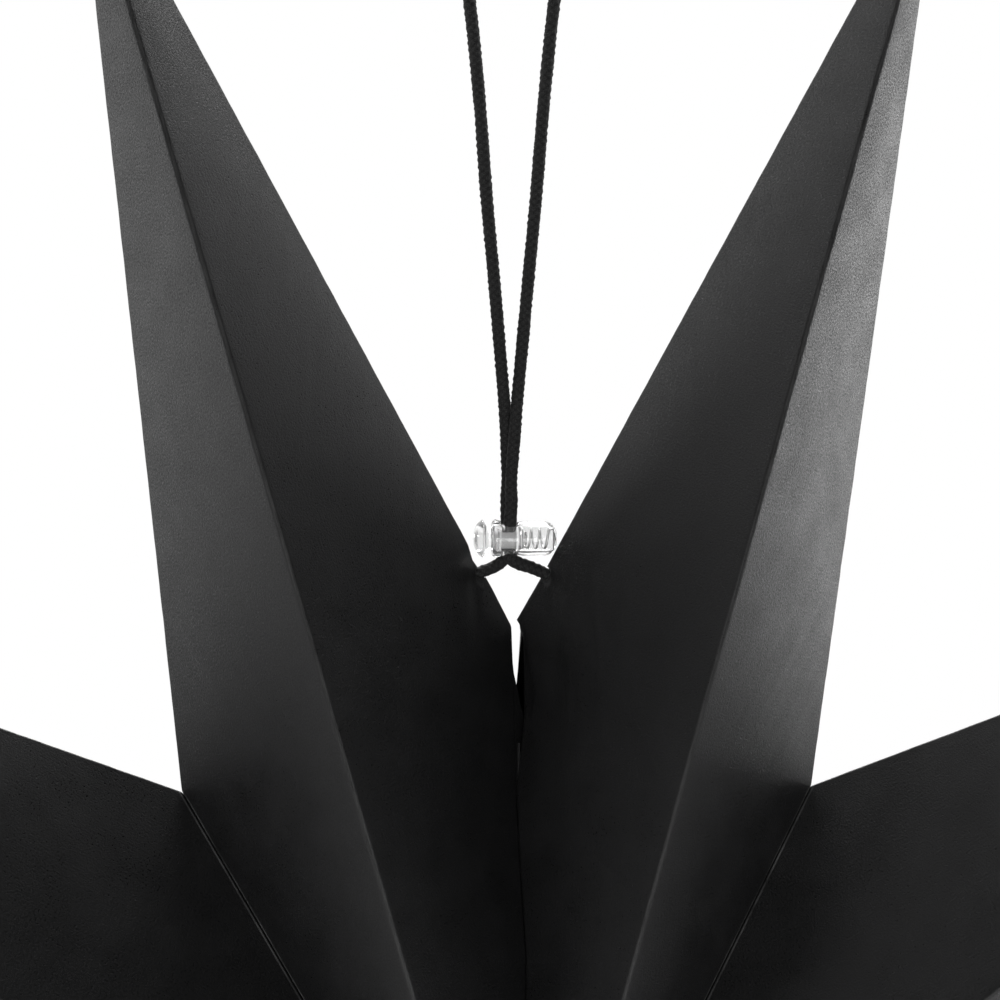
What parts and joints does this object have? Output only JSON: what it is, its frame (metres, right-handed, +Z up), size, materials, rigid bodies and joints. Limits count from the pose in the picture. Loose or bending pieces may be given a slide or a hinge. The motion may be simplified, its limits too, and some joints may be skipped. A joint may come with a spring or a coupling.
{
  "type": "paper star ornament",
  "caption": "Large hanging star of folded black card with long pointed arms, drawn together at the top by a cord loop with a clear spring cord lock.",
  "frame": {"origin": "inside top of the cord's hanging loop, where it lies on its hook", "axes": "+Z up; the star faces -Y and is spread out in the XZ plane"},
  "size_m": [0.5938, 0.14, 0.5875],
  "materials": {
    "card": "matte",
    "cord": "matte",
    "clear_plastic": "gloss",
    "spring_steel": "satin"
  },
  "bodies": {
    "star": {"arm_1": "card", "arm_2": "card", "arm_3": "card", "arm_4": "card", "arm_5": "card", "arm_6": "card", "arm_7": "card", "arm_8": "card", "arm_9": "card", "cord": "cord", "knot_right": "cord", "knot_left": "cord", "lock_body": "clear_plastic", "lock_spring": "spring_steel"},
    "button": {"lock_button": "clear_plastic"}
  },
  "joints": [
    {"name": "button_press", "type": "slide", "parent": "star", "child": "button", "axis": [1, 0, 0], "range_m": [0, 0.0008], "stiffness_N_per_m": 800, "springref_m": -0.002, "deforming": ["lock_spring"]}
  ]
}
